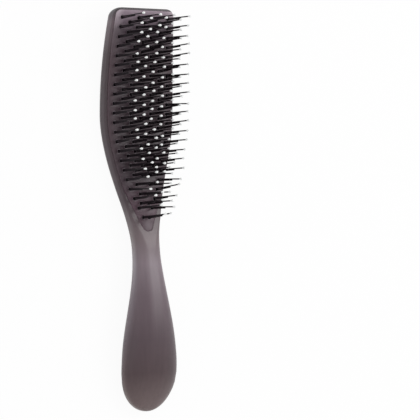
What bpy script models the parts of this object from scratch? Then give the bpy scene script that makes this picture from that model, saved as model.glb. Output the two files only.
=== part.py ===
"""Hair grooming brush: a one-piece handle body, a bristle plate let into its head, and seven bristle rows.

The brush lies on its back. X runs across it, Y along it towards the head, and the bristles stand up along Z.
Positions along the brush are first worked out from the butt end, and moved to the middle when a mesh is made.
"""

import math

import bmesh
import bpy

# Stretches of the brush, from the butt to the top of the head
BUTT_LENGTH = 0.022
GRIP_TAPER_LENGTH = 0.070
HEAD_FLARE_LENGTH = 0.078
HEAD_UPPER_LENGTH = 0.060

# Widths of the handle body
GRIP_WIDTH = 0.0373
NECK_WIDTH = 0.0181
HEAD_WIDTH = 0.0499
HEAD_TOP_WIDTH = 0.0434
HEAD_CORNER_RADIUS = 0.0050

# Thicknesses of the brush up to its face, and where the thickest part of the grip lies past its widest part
GRIP_THICKNESS = 0.0190
NECK_THICKNESS = 0.0101
HEAD_THICKNESS = 0.0081
GRIP_THICKEST_OFFSET = 0.018
NECK_THINNING_LENGTH = 0.018

# The back in side view: it rests on the grip and on the head's belly, and arches up at the neck
BUTT_TIP_HEIGHT = 0.0050
BUTT_LIFT_LENGTH = 0.012
NECK_ARCH = 0.0047
NECK_ARCH_OFFSET = 0.009
ARCH_RISE_LENGTH = 0.049
ARCH_FALL_LENGTH = 0.063
BELLY_REST_LENGTH = 0.006
HEAD_BEND_RADIUS = 0.345

# How the cross-section is rounded
CREASE_INSET = 0.0002
CREASE_DROP = 0.0012
RIM_ROUNDING = 0.0014
HEAD_BACK_ROUNDING = 0.0030
GRIP_FRONT_LAND = 0.0030
GRIP_BACK_LAND = 0.0070
CREASE_FADE_LENGTH = 0.020
BACK_FADE_LENGTH = 0.034
HEAD_END_BACK_ROUNDING = 0.0045
HEAD_END_BACK_RISE = 0.0040
HEAD_END_FRONT_ROUNDING = 0.0012
HEAD_END_FRONT_DROP = 0.0010

# The bristle plate, let into the head's front: flush at its tip on the neck, and a step higher than the head's rim
PLATE_THICKNESS = 0.0060
PLATE_STEP = 0.0008
PLATE_STEP_LENGTH = 0.030
PLATE_RIM = 0.0016
PLATE_TOP_RIM = 0.0014
PLATE_CORNER_RADIUS = 0.0028
PLATE_TIP_OFFSET = 0.0106
PLATE_TIP_RADIUS = 0.0040
PLATE_TIP_HALF_ANGLE = math.radians(25.5)

# The tufts: each is one long and one short strand, side by side along the brush and a little out of line
TUFT_PITCH = 0.00541
TUFT_EDGE_MARGIN = 0.00435
STRAND_SPACING = 0.0008
STRAND_STAGGER = 0.0004
STRAND_WIDTH = 0.0007
LONG_STRAND_RISE = 0.0214
SHORT_STRAND_RISE = 0.0118
BALL_HEIGHT = 0.0030
BALL_WIDTH = 0.0014
BALL_CROWN_WIDTH = 0.0008
BALL_WIDEST_SHARE = 0.62

# The slices of the backing that hold the tufts
SLICE_DEPTH = 0.0050
SLICE_DEPTH_STEP = 0.0004
SLICE_BORDER = 0.0015
SLICE_LEAST_HALF_WIDTH = 0.0006

# The columns of tufts, three on each side of one in the middle: their spacing from the outer ones inwards, the
# least spacing where they crowd together, the least distance that the inner ones keep from the middle, and the
# outer column's place where each one ends
SIDE_COLUMNS = 3
COLUMN_COUNT = 2 * SIDE_COLUMNS + 1
COLUMN_SPACING = 0.0059
COLUMN_LEAST_SPACING = 0.0020
SECOND_COLUMN_LEAST_OFFSET = 0.0027
THIRD_COLUMN_LEAST_OFFSET = 0.0045
COLUMN_LEAST_OFFSETS = (0.0, SECOND_COLUMN_LEAST_OFFSET, THIRD_COLUMN_LEAST_OFFSET, 0.0)
OUTER_COLUMN_END = 0.0010
SECOND_COLUMN_END = 0.0048
INNER_COLUMN_END = 0.0118
COLUMN_ENDS = (OUTER_COLUMN_END, SECOND_COLUMN_END, INNER_COLUMN_END, INNER_COLUMN_END)

# Fits and cuts
FIT_GAP = 0.0003
CUT_OVERRUN = 0.0020

# How finely round shapes are stepped
SHARP_ANGLE = math.radians(35)
FRONT_SIDE_STEPS = 3
BACK_SIDE_STEPS = 7
END_STEPS = 7
BUTT_FACE_SHARE = 0.25
CORNER_STEPS = 5
TIP_STEPS = 5
GRIP_STEPS = 14
FLARE_STEPS = 16
HEAD_STEPS = 9

# Colours, as linear red, green and blue, and finishes
BODY_COLOUR = (0.144, 0.112, 0.122)
BODY_ROUGHNESS = 0.32
PLATE_COLOUR = (0.092, 0.068, 0.076)
PLATE_ROUGHNESS = 0.38
NYLON_COLOUR = (0.004, 0.004, 0.004)
NYLON_ROUGHNESS = 0.45
TIP_COLOUR = (0.80, 0.83, 0.82)
TIP_ROUGHNESS = 0.20

# Places that follow from the sizes above
NECK_AT = BUTT_LENGTH + GRIP_TAPER_LENGTH
HEAD_WIDEST_AT = NECK_AT + HEAD_FLARE_LENGTH
BRUSH_LENGTH = HEAD_WIDEST_AT + HEAD_UPPER_LENGTH
GRIP_THICKEST_AT = BUTT_LENGTH + GRIP_THICKEST_OFFSET
NECK_ARCH_AT = NECK_AT - NECK_ARCH_OFFSET
ARCH_START_AT = NECK_ARCH_AT - ARCH_RISE_LENGTH
BELLY_AT = NECK_ARCH_AT + ARCH_FALL_LENGTH
HEAD_BEND_AT = BELLY_AT + BELLY_REST_LENGTH
PLATE_TIP_AT = NECK_AT + PLATE_TIP_OFFSET
PLATE_TOP_AT = BRUSH_LENGTH - PLATE_TOP_RIM
FIRST_TUFT_AT = PLATE_TOP_AT - TUFT_EDGE_MARGIN
ROW_STEP = TUFT_PITCH / 2


def ease(share):
    """Return a share from 0 to 1 that starts and ends level."""
    share = min(max(share, 0.0), 1.0)
    return share * share * (3 - 2 * share)


def quarter_drop(share):
    """Return how far a quarter circle has dropped at a share of its radius from where it is level."""
    share = min(max(share, 0.0), 1.0)
    return 1 - math.sqrt(1 - share * share)


def between(start, end, share):
    """Return the value that lies a share of the way from start to end."""
    return start + (end - start) * share


def spread(start, end, steps):
    """Return the ends of equal steps from start up to, and without, end."""
    return [between(start, end, step / steps) for step in range(steps)]


def side_outline(along):
    """Return the body's half width, before its corners at the top are rounded."""
    grip, neck, head, top = (width / 2 for width in (GRIP_WIDTH, NECK_WIDTH, HEAD_WIDTH, HEAD_TOP_WIDTH))
    if along < BUTT_LENGTH:
        return grip * (1 - quarter_drop(1 - along / BUTT_LENGTH))
    if along < NECK_AT:
        return between(grip, neck, ease((along - BUTT_LENGTH) / GRIP_TAPER_LENGTH))
    if along < HEAD_WIDEST_AT:
        return between(neck, head, ease((along - NECK_AT) / HEAD_FLARE_LENGTH))
    return between(head, top, ((along - HEAD_WIDEST_AT) / HEAD_UPPER_LENGTH) ** 2)


def body_half_width(along):
    """Return the body's half width, its rounded top corners included."""
    to_top = BRUSH_LENGTH - along
    return side_outline(along) - HEAD_CORNER_RADIUS * quarter_drop(1 - to_top / HEAD_CORNER_RADIUS)


def body_thickness(along):
    """Return the body's thickness, before the head's end is rounded."""
    if along < GRIP_THICKEST_AT:
        return GRIP_THICKNESS * (1 - quarter_drop(1 - along / GRIP_THICKEST_AT))
    if along < NECK_AT:
        share = (along - GRIP_THICKEST_AT) / (NECK_AT - GRIP_THICKEST_AT)
        return between(GRIP_THICKNESS, NECK_THICKNESS, ease(share))
    return between(NECK_THICKNESS, HEAD_THICKNESS, ease((along - NECK_AT) / NECK_THINNING_LENGTH))


def rest_line(along):
    """Return the height of the body's back above the surface it lies on, without the head's rounded end."""
    if along < BUTT_LIFT_LENGTH:
        return BUTT_TIP_HEIGHT * quarter_drop(1 - along / BUTT_LIFT_LENGTH)
    if along < NECK_ARCH_AT:
        return NECK_ARCH * ease((along - ARCH_START_AT) / ARCH_RISE_LENGTH)
    if along < BELLY_AT:
        return NECK_ARCH * ease((BELLY_AT - along) / ARCH_FALL_LENGTH)
    return HEAD_BEND_RADIUS * quarter_drop((along - HEAD_BEND_AT) / HEAD_BEND_RADIUS)


def face_line(along):
    """Return the height of the brush's face, which is the plate's on the head and the body's elsewhere."""
    return rest_line(along) + body_thickness(along)


def front_line(along):
    """Return the height of the body's front, a step lower than the plate's on the head."""
    return face_line(along) - PLATE_STEP * ease((along - PLATE_TIP_AT) / PLATE_STEP_LENGTH)


def rounded_front_side(half_width, middle, front):
    """Return the section's front side where it is an elliptical quarter, from the widest point inwards."""
    land = min(GRIP_FRONT_LAND / 2, half_width / 2)
    angles = [math.pi / 2 * step / (2 * FRONT_SIDE_STEPS) for step in range(2 * FRONT_SIDE_STEPS + 1)]
    return [(land + (half_width - land) * math.cos(angle), middle + (front - middle) * math.sin(angle))
            for angle in angles]


def creased_front_side(half_width, middle, front):
    """Return the section's front side on the head: a side wall up to a crease, then a rim that rounds inwards."""
    crease = half_width - CREASE_INSET
    crease_height = max(front - CREASE_DROP, middle)
    shares = [step / FRONT_SIDE_STEPS for step in range(FRONT_SIDE_STEPS + 1)]
    wall = [(half_width - CREASE_INSET * share ** 2, between(middle, crease_height, share)) for share in shares]
    rim = [(crease - RIM_ROUNDING * share, front - (front - crease_height) * (1 - share) ** 2) for share in shares]
    return wall + rim[1:]


def body_section(along):
    """Return the ring of points of the body's cross-section, from its right side over the front."""
    to_top = BRUSH_LENGTH - along
    back = rest_line(along) + HEAD_END_BACK_RISE * quarter_drop(1 - to_top / HEAD_END_BACK_ROUNDING)
    front = front_line(along) - HEAD_END_FRONT_DROP * quarter_drop(1 - to_top / HEAD_END_FRONT_ROUNDING)
    half_width = body_half_width(along)
    middle = (front + back) / 2
    back_share = ease((along - NECK_AT) / BACK_FADE_LENGTH)
    back_land = between(min(GRIP_BACK_LAND / 2, half_width / 2), half_width - HEAD_BACK_ROUNDING, back_share)
    right = []
    for step in range(BACK_SIDE_STEPS):
        angle = math.pi / 2 * step / BACK_SIDE_STEPS
        right.append((back_land + (half_width - back_land) * math.sin(angle),
                      middle - (middle - back) * math.cos(angle)))
    crease_share = ease((along - NECK_AT) / CREASE_FADE_LENGTH)
    rounded = rounded_front_side(half_width, middle, front)
    creased = creased_front_side(half_width, middle, front)
    right += [tuple(between(*pair, crease_share) for pair in zip(*points)) for points in zip(rounded, creased)]
    left = [(-across, height) for across, height in reversed(right)]
    return [(across, along, height) for across, height in right + left]


def body_stations():
    """Return the places along the brush at which the body's cross-section is taken."""
    butt = [BUTT_LENGTH * quarter_drop((step + BUTT_FACE_SHARE) / END_STEPS) for step in range(END_STEPS)]
    grip = spread(BUTT_LENGTH, NECK_AT, GRIP_STEPS)
    flare = spread(NECK_AT, BELLY_AT, FLARE_STEPS)
    head = spread(HEAD_BEND_AT, BRUSH_LENGTH - HEAD_CORNER_RADIUS, HEAD_STEPS)
    top = [BRUSH_LENGTH - HEAD_CORNER_RADIUS * (1 - math.sin(math.pi / 2 * step / END_STEPS))
           for step in range(END_STEPS)]
    rim = BRUSH_LENGTH - HEAD_END_FRONT_ROUNDING / 2
    return sorted(butt + grip + flare + [BELLY_AT] + head + top + [rim, BRUSH_LENGTH])


def plate_side(along, grow):
    """Return the plate's half width, before its top corners are rounded, grown by a clearance."""
    rim_side = side_outline(along) - PLATE_RIM + grow
    radius = PLATE_TIP_RADIUS + grow
    past_centre = along - (PLATE_TIP_AT + PLATE_TIP_RADIUS)
    if past_centre < -radius * math.sin(PLATE_TIP_HALF_ANGLE):
        return math.sqrt(max(radius * radius - past_centre * past_centre, 0.0))
    wedge = radius / math.cos(PLATE_TIP_HALF_ANGLE) + past_centre * math.tan(PLATE_TIP_HALF_ANGLE)
    return min(rim_side, wedge)


def plate_half_width(along, grow):
    """Return the plate's half width, its rounded top corners included, grown by a clearance."""
    radius = PLATE_CORNER_RADIUS + grow
    to_top = PLATE_TOP_AT + grow - along
    return plate_side(along, grow) - radius * quarter_drop(1 - to_top / radius)


def row_at(row):
    """Return the place of a row, two of which make a tuft pitch, counted from the first tuft."""
    return FIRST_TUFT_AT - row * ROW_STEP


def plate_stations(grow):
    """Return the places along the brush at which the plate's outline is taken."""
    radius = PLATE_TIP_RADIUS + grow
    tip_turn = math.pi / 2 - PLATE_TIP_HALF_ANGLE
    tip = [PLATE_TIP_AT + PLATE_TIP_RADIUS - radius * math.cos(tip_turn * (step + 1) / (TIP_STEPS + 1))
           for step in range(TIP_STEPS + 1)]
    corner_radius = PLATE_CORNER_RADIUS + grow
    corner_start = PLATE_TOP_AT - PLATE_CORNER_RADIUS
    corner = [corner_start + corner_radius * math.sin(math.pi / 2 * step / CORNER_STEPS)
              for step in range(CORNER_STEPS + 1)]
    rows = int((corner_start - tip[-1]) / ROW_STEP) + 1
    straight = [row_at(row) for row in range(rows)]
    return tip + [along for along in reversed(straight) if tip[-1] < along < corner_start] + corner


def outer_column(along):
    """Return how far the outer columns of tufts stand from the middle."""
    return plate_side(along, 0.0) - TUFT_EDGE_MARGIN


def columns_from_edge(column):
    """Return how many columns a column lies in from the nearer outer one."""
    return min(column, COLUMN_COUNT - 1 - column)


def column_offset(from_edge, outer):
    """Return how far the columns this many in from the edge stand from the middle, given the outer ones' distance."""
    if from_edge == 0:
        return outer
    if from_edge == SIDE_COLUMNS:
        return 0.0
    offset = max(outer - from_edge * COLUMN_SPACING, COLUMN_LEAST_OFFSETS[from_edge])
    inside_next = column_offset(from_edge - 1, outer) - COLUMN_LEAST_SPACING
    return max(min(offset, inside_next), 0.0)


def column_place(column, outer):
    """Return a column's place across the brush where the outer columns stand this far from the middle."""
    return math.copysign(column_offset(columns_from_edge(column), outer), column - SIDE_COLUMNS)


def tuft_rows(column):
    """Return the rows that hold this column's tufts, from the head's top down."""
    from_edge = columns_from_edge(column)
    rows = []
    row = from_edge % 2
    while outer_column(row_at(row)) > COLUMN_ENDS[from_edge]:
        rows.append(row)
        row += 2
    return rows


def slice_floor(column, along):
    """Return the height of the floor of a column's recess, where neighbouring columns lie a step apart."""
    return face_line(along) - SLICE_DEPTH + SLICE_DEPTH_STEP * (column % 2)


def slice_sides(column, along, grow):
    """Return the left and right sides of a column's slice of the backing, grown by a clearance."""
    outer_tufts = tuft_rows(0)
    outer = outer_column(min(max(along, row_at(outer_tufts[-1])), row_at(outer_tufts[0])))
    place = column_place(column, outer)
    sides = []
    for towards in (-1, 1):
        neighbour = column + towards
        if 0 <= neighbour < COLUMN_COUNT:
            half_spacing = abs(column_place(neighbour, outer) - place) / 2
            reach = max(half_spacing - FIT_GAP / 2, SLICE_LEAST_HALF_WIDTH)
            if place * towards < 0:
                reach = min(reach, abs(place) - FIT_GAP / 2)
        else:
            reach = SLICE_BORDER
        sides.append(place + towards * (reach + grow))
    return sides


def loft(name, rings, material):
    """Make a closed body through rings of points, with a flat face on each end."""
    builder = bmesh.new()
    loops = [[builder.verts.new((across, along - BRUSH_LENGTH / 2, height)) for across, along, height in ring]
             for ring in rings]
    for lower, upper in zip(loops, loops[1:]):
        for index, vertex in enumerate(lower):
            following = (index + 1) % len(lower)
            builder.faces.new((vertex, lower[following], upper[following], upper[index]))
    builder.faces.new(loops[0])
    builder.faces.new(loops[-1])
    return finish(name, builder, [material])


def finish(name, builder, materials):
    """Turn the faces outwards and put the mesh in the scene as a named object."""
    bmesh.ops.recalc_face_normals(builder, faces=builder.faces)
    mesh = bpy.data.meshes.new(name)
    builder.to_mesh(mesh)
    builder.free()
    mesh.shade_smooth()
    mesh.set_sharp_from_angle(angle=SHARP_ANGLE)
    for material in materials:
        mesh.materials.append(material)
    piece = bpy.data.objects.new(name, mesh)
    bpy.context.scene.collection.objects.link(piece)
    return piece


def cut(piece, cutter):
    """Cut a piece with a cutter, which stays in the scene as a hidden guide."""
    cutter.hide_render = True
    cutter.display_type = "WIRE"
    boolean = piece.modifiers.new(cutter.name, "BOOLEAN")
    boolean.operation = "DIFFERENCE"
    boolean.solver = "EXACT"
    boolean.object = cutter


def plastic(name, colour, roughness):
    """Make a material with one colour and one roughness."""
    material = bpy.data.materials.new(name)
    material.use_nodes = True
    shader = material.node_tree.nodes["Principled BSDF"]
    shader.inputs["Base Color"].default_value = (*colour, 1.0)
    shader.inputs["Roughness"].default_value = roughness
    shader.inputs["Metallic"].default_value = 0.0
    material.diffuse_color = (*colour, 1.0)
    return material


def box_ring(left, right, along, bottom, top):
    """Return the four corners of a rectangular cross-section."""
    return [(left, along, bottom), (right, along, bottom), (right, along, top), (left, along, top)]


def make_body(material):
    """Make the handle body, with the pocket that the bristle plate sits in."""
    body = loft("handle_body", [body_section(along) for along in body_stations()], material)
    rings = []
    for along in plate_stations(FIT_GAP):
        half_width = plate_half_width(along, FIT_GAP)
        floor = face_line(along) - PLATE_THICKNESS - FIT_GAP
        rings.append(box_ring(-half_width, half_width, along, floor, face_line(along) + CUT_OVERRUN))
    cut(body, loft("plate_pocket_cutter", rings, material))


def make_plate(material):
    """Make the bristle plate, with the recesses that the bristle rows' slices sit in."""
    rings = []
    for along in plate_stations(0.0):
        half_width = plate_half_width(along, 0.0)
        rings.append(box_ring(-half_width, half_width, along, face_line(along) - PLATE_THICKNESS, face_line(along)))
    plate = loft("bristle_plate", rings, material)
    for column in range(COLUMN_COUNT):
        cut(plate, make_slice_cutter(column, material))


def slice_rows(column):
    """Return the rows that a column's slice runs through, one past its tufts at each end."""
    tufts = tuft_rows(column)
    return range(tufts[0] - 1, tufts[-1] + 2)


def make_slice_cutter(column, material):
    """Make the cutter for one column's recess, whose floor runs straight from row to row."""
    rows = slice_rows(column)
    rings = []
    for row in rows:
        along = row_at(row)
        floor = slice_floor(column, along)
        top = face_line(along) + CUT_OVERRUN
        left, right = slice_sides(column, along, FIT_GAP)
        if row in (rows[0], rows[-1]):
            inner = row_at(row + 1 if row == rows[0] else row - 1)
            slope = (floor - slice_floor(column, inner)) / (along - inner)
            past_end = math.copysign(FIT_GAP, along - inner)
            along += past_end
            floor += slope * past_end
        rings.append(box_ring(left, right, along, floor, top))
    return loft(f"slice_{column + 1}_cutter", rings, material)


def raise_strand(builder, foot, levels):
    """Extrude a strand from its square foot through levels of height, width and material index."""
    face = foot
    centre = foot.calc_center_median()
    for rise, width, material_index in levels:
        face = bmesh.ops.extrude_discrete_faces(builder, faces=[face])["faces"][0]
        for vertex in face.verts:
            vertex.co.x = centre.x + math.copysign(width / 2, vertex.co.x - centre.x)
            vertex.co.y = centre.y + math.copysign(width / 2, vertex.co.y - centre.y)
            vertex.co.z = centre.z + rise
        for edge in face.edges:
            for side in edge.link_faces:
                side.material_index = material_index


def make_bristle_row(column, backing, nylon, tip):
    """Make one column of tufts, fused to its slice of the backing."""
    builder = bmesh.new()

    def corner(across, along, height):
        return builder.verts.new((across, along - BRUSH_LENGTH / 2, height))

    long_levels = ((LONG_STRAND_RISE - BALL_HEIGHT, STRAND_WIDTH, 1),
                   (LONG_STRAND_RISE - BALL_HEIGHT * (1 - BALL_WIDEST_SHARE), BALL_WIDTH, 2),
                   (LONG_STRAND_RISE, BALL_CROWN_WIDTH, 2))
    short_levels = ((SHORT_STRAND_RISE, STRAND_WIDTH, 1),)
    tufts = tuft_rows(column)
    rings = []
    for row in slice_rows(column):
        along = row_at(row)
        left, right = slice_sides(column, along, 0.0)
        bottom = slice_floor(column, along) + FIT_GAP
        rings.append([corner(*point) for point in box_ring(left, right, along, bottom, face_line(along))])
    for index, (upper, lower) in enumerate(zip(rings, rings[1:])):
        tuft_at = row_at(tufts[index // 2])
        is_long = index % 2 == 0
        end_side = 1 if is_long else -1
        strand_at = tuft_at + end_side * STRAND_SPACING / 2
        across = column_place(column, outer_column(tuft_at)) - end_side * STRAND_STAGGER / 2
        half = STRAND_WIDTH / 2
        foot = [corner(across + side * half, strand_at + end * half, face_line(strand_at))
                for side, end in ((-1, 1), (1, 1), (1, -1), (-1, -1))]
        cell = [upper[3], upper[2], lower[2], lower[3]]
        for start in range(4):
            end = (start + 1) % 4
            builder.faces.new((cell[start], cell[end], foot[end], foot[start]))
        for start in (0, 1, 3):
            end = (start + 1) % 4
            builder.faces.new((upper[start], upper[end], lower[end], lower[start]))
        raise_strand(builder, builder.faces.new(foot), long_levels if is_long else short_levels)
    builder.faces.new(rings[0])
    builder.faces.new(rings[-1])
    finish(f"bristle_row_{column + 1}", builder, [backing, nylon, tip])


def main():
    """Build the whole brush."""
    for old in list(bpy.data.objects):
        bpy.data.objects.remove(old, do_unlink=True)
    smoky_plastic = plastic("smoky_plastic", BODY_COLOUR, BODY_ROUGHNESS)
    plate_plastic = plastic("plate_plastic", PLATE_COLOUR, PLATE_ROUGHNESS)
    nylon = plastic("black_nylon", NYLON_COLOUR, NYLON_ROUGHNESS)
    tip = plastic("ball_tip_resin", TIP_COLOUR, TIP_ROUGHNESS)
    make_body(smoky_plastic)
    make_plate(plate_plastic)
    for column in range(COLUMN_COUNT):
        make_bristle_row(column, plate_plastic, nylon, tip)


if __name__ == "__main__":
    main()
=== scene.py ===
"""Looks of the hair grooming brush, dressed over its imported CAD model.

The brush lies on its back: X across, Y along it towards the head, Z up the bristles. Places along the brush
are worked out in metres from the butt, as a maker measures them, and moved to the frame when a mesh gets its
points.
"""

import logging
import math
import random
from collections.abc import Callable, Iterator, Sequence
from contextlib import contextmanager
from dataclasses import dataclass
from enum import Enum

import bpy
from bpy.types import Material, Node, NodeSocket, NodeTree, Object
from mathutils import Matrix, Vector

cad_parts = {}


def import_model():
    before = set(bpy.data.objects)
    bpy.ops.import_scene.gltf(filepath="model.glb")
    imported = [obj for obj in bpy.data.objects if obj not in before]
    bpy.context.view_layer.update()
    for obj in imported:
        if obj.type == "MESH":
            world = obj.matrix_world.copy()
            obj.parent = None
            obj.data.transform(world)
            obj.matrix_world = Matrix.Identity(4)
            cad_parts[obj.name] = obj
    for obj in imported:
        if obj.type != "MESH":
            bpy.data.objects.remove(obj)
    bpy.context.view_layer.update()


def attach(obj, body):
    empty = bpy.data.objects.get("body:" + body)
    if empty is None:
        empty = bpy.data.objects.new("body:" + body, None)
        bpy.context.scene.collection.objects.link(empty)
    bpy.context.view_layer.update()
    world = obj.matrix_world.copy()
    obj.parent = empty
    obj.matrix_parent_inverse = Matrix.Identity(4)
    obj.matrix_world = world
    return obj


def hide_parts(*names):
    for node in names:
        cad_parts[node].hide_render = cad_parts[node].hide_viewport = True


LOG = logging.getLogger("brush")
MM = 0.001
BODY = "root"
SMOOTH_ANGLE = math.radians(35)
MERGE_DISTANCE = 0.001 * MM
POLE_REACH = 0.01  # On a sphere of radius 1, how near its axis a point is taken as its pole
FINE_DETAIL = 1.0  # Detail of a noise whose patches are too small to show more
ALIKE = (1.0, 1.0, 1.0)  # The same for red, green and blue
WHITE = "#ffffff"

Point = tuple[float, float, float]
Ring = list[Point]


def ease(share: float) -> float:
    """Return a share from 0 to 1 that starts and ends level."""
    share = min(max(share, 0.0), 1.0)
    return share * share * (3 - 2 * share)


def quarter_drop(share: float) -> float:
    """Return how far a quarter circle has dropped at a share of its radius from where it is level."""
    share = min(max(share, 0.0), 1.0)
    return 1 - math.sqrt(1 - share * share)


def between(start: float, end: float, share: float) -> float:
    """Return the value that lies a share of the way from start to end."""
    return start + (end - start) * share


def linear_colour(hex_colour: str) -> tuple[float, float, float, float]:
    """Turn an sRGB hex colour into the linear colour that the shaders work in.

    Args:
        hex_colour: Six hex digits with a leading number sign.

    Returns:
        Linear red, green and blue, and a full alpha.
    """
    levels = [int(hex_colour[start:start + 2], 16) / 255 for start in (1, 3, 5)]
    red, green, blue = (level / 12.92 if level <= 0.04045 else ((level + 0.055) / 1.055) ** 2.4
                        for level in levels)
    return red, green, blue, 1.0


# Modelling by hand: selecting, editing and joining


def select_only(*pieces: Object) -> None:
    """Select these pieces alone, and make the first of them active.

    Args:
        pieces: Pieces to select, or none to leave everything unselected.
    """
    bpy.ops.object.select_all(action="DESELECT")
    for piece in pieces:
        piece.select_set(True)
    if pieces:
        bpy.context.view_layer.objects.active = pieces[0]


@contextmanager
def editing(piece: Object) -> Iterator[None]:
    """Open a piece in edit mode with all of it selected, and close it again.

    Args:
        piece: Piece to edit.
    """
    select_only(piece)
    bpy.ops.object.mode_set(mode="EDIT")
    bpy.ops.mesh.select_all(action="SELECT")
    yield
    bpy.ops.object.mode_set(mode="OBJECT")


def face_outwards() -> None:
    """Turn all faces of the piece in edit mode outwards."""
    bpy.ops.mesh.select_all(action="SELECT")
    bpy.ops.mesh.normals_make_consistent(inside=False)


def copy_piece(piece: Object) -> Object:
    """Copy a piece together with its mesh.

    Args:
        piece: Piece to copy.

    Returns:
        The copy, with a mesh of its own.
    """
    copy = piece.copy()
    copy.data = piece.data.copy()
    bpy.context.collection.objects.link(copy)
    return copy


def place_points(piece: Object, place: Callable[[Vector], Sequence[float]]) -> None:
    """Move every point of a piece to where a rule puts it.

    Args:
        piece: Piece whose points move.
        place: Rule that gives a point's new place from its old one.
    """
    for vertex in piece.data.vertices:
        vertex.co = place(vertex.co.copy())
    piece.data.update()


def wrap_grid(name: str, rings: list[Ring]) -> Object:
    """Wrap a grid round rings of points and fill its two ends.

    Args:
        name: Name of the new piece.
        rings: Rings with the same number of points each, from one end to the other.

    Returns:
        A closed piece with its faces outwards.
    """
    around, steps = len(rings[0]), len(rings) - 1
    select_only()
    bpy.ops.mesh.primitive_grid_add(x_subdivisions=around, y_subdivisions=steps, size=1.0)
    piece = bpy.context.object
    piece.name = piece.data.name = name
    place_points(piece, lambda co: rings[round((co.y + 0.5) * steps)][round((co.x + 0.5) * around) % around])
    with editing(piece):
        bpy.ops.mesh.remove_doubles(threshold=MERGE_DISTANCE)
        bpy.ops.mesh.fill_holes(sides=0)
        face_outwards()
    return piece


def extrude_rod(sides: int, width: float, foot: float, steps: list[tuple[float, float]],
                material: Material) -> Object:
    """Extrude a round rod upwards from a disc on the axis.

    Args:
        sides: Number of flat sides that make the rod round.
        width: Width of the disc.
        foot: Height of the disc.
        steps: For each step, its rise and how many times wider the rod is at its end than at its start.
        material: Material of the rod.

    Returns:
        The closed rod.
    """
    select_only()
    bpy.ops.mesh.primitive_circle_add(vertices=sides, radius=width / 2, fill_type="NGON",
                                      location=(0.0, 0.0, foot))
    rod = bpy.context.object
    bpy.ops.object.transform_apply(location=True)
    with editing(rod):
        for rise, widening in steps:
            bpy.ops.mesh.extrude_region_move(TRANSFORM_OT_translate={"value": (0.0, 0.0, rise)})
            bpy.ops.transform.resize(value=(widening, widening, 1.0))
        face_outwards()
    rod.data.materials.append(material)
    return rod


def join_pieces(name: str, pieces: list[Object]) -> Object:
    """Join pieces into one that has its place in its mesh.

    Args:
        name: Name of the joined piece.
        pieces: Pieces to join, each with its own mesh.

    Returns:
        The joined piece.
    """
    select_only(*pieces)
    bpy.ops.object.join()
    joined = bpy.context.object
    bpy.ops.object.transform_apply(location=True, rotation=True, scale=True)
    joined.name = joined.data.name = name
    return joined


def cut_away(piece: Object, cutter: Object) -> None:
    """Cut a piece with a cutter and remove the cutter.

    Args:
        piece: Piece to cut.
        cutter: Closed block, whose material the cut faces take.
    """
    select_only(piece)
    boolean = piece.modifiers.new("cut", "BOOLEAN")
    boolean.operation = "DIFFERENCE"
    boolean.solver = "EXACT"
    boolean.material_mode = "TRANSFER"
    boolean.object = cutter
    bpy.ops.object.modifier_apply(modifier=boolean.name)
    bpy.data.objects.remove(cutter)


def dress(piece: Object, slot: str, *nodes: str) -> None:
    """Shade a piece smooth but for its sharp edges, and let it ride on the brush and stand for CAD nodes.

    Args:
        piece: Piece with its final mesh and its material.
        slot: Name of the material slot; not used.
        nodes: CAD nodes that the piece stands for, if any.
    """
    select_only(piece)
    bpy.ops.object.shade_smooth_by_angle(angle=SMOOTH_ANGLE)
    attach(piece, BODY)
    if nodes:
        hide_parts(*nodes)
    low, high = (Vector(function(corner[axis] for corner in piece.bound_box) for axis in range(3))
                 for function in (min, max))
    size = " x ".join(f"{extent / MM:.1f}" for extent in high - low)
    LOG.info("%s: %s mm, %d faces, stands for %s",
             piece.name, size, len(piece.data.polygons), nodes or "no node")


# Finishes


def add_node(tree: NodeTree, kind: str, inputs: dict[str | int, object] | None = None,
             **settings: object) -> Node:
    """Add a shader node with its settings, values and links.

    Args:
        tree: Node tree that gets the node.
        kind: Blender's name of the node type.
        inputs: For each input, by name or number, a value or the output that is linked to it.
        settings: Properties of the node itself.

    Returns:
        The new node.
    """
    node = tree.nodes.new(kind)
    for name, setting in settings.items():
        setattr(node, name, setting)
    for name, value in (inputs or {}).items():
        if isinstance(value, NodeSocket):
            tree.links.new(value, node.inputs[name])
        else:
            node.inputs[name].default_value = value
    return node


def new_material(name: str) -> tuple[Material, NodeTree]:
    """Make a material with an empty node tree.

    Args:
        name: Name of the material.

    Returns:
        The material and its node tree.
    """
    material = bpy.data.materials.new(name)
    material.use_nodes = True
    material.node_tree.nodes.clear()
    return material, material.node_tree


def finish_surface(tree: NodeTree, shader: Node) -> None:
    """Link a shader to the tree's surface output."""
    add_node(tree, "ShaderNodeOutputMaterial", {"Surface": shader.outputs[0]})


def fine_noise(tree: NodeTree, place: NodeSocket, size: float) -> NodeSocket:
    """Add a noise whose patches have this size, and return its level."""
    inputs = {"Vector": place, "Scale": 1 / size, "Detail": FINE_DETAIL}
    return add_node(tree, "ShaderNodeTexNoise", inputs).outputs["Fac"]


def map_range(tree: NodeTree, value: NodeSocket, source: tuple[float, float] = (0.0, 1.0),
              target: tuple[float, float] = (0.0, 1.0)) -> NodeSocket:
    """Add the node that turns one range of a value into another.

    Args:
        tree: Node tree that gets the node.
        value: Value to turn.
        source: Its two ends.
        target: What they are turned into.

    Returns:
        The turned value.
    """
    return add_node(tree, "ShaderNodeMapRange", {
        "Value": value, "From Min": source[0], "From Max": source[1],
        "To Min": target[0], "To Max": target[1]}).outputs["Result"]


def calculate(tree: NodeTree, operation: str, *values: object) -> NodeSocket:
    """Add a node that calculates with numbers, and return its result."""
    node = add_node(tree, "ShaderNodeMath", dict(enumerate(values)), operation=operation)
    return node.outputs["Value"]


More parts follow.
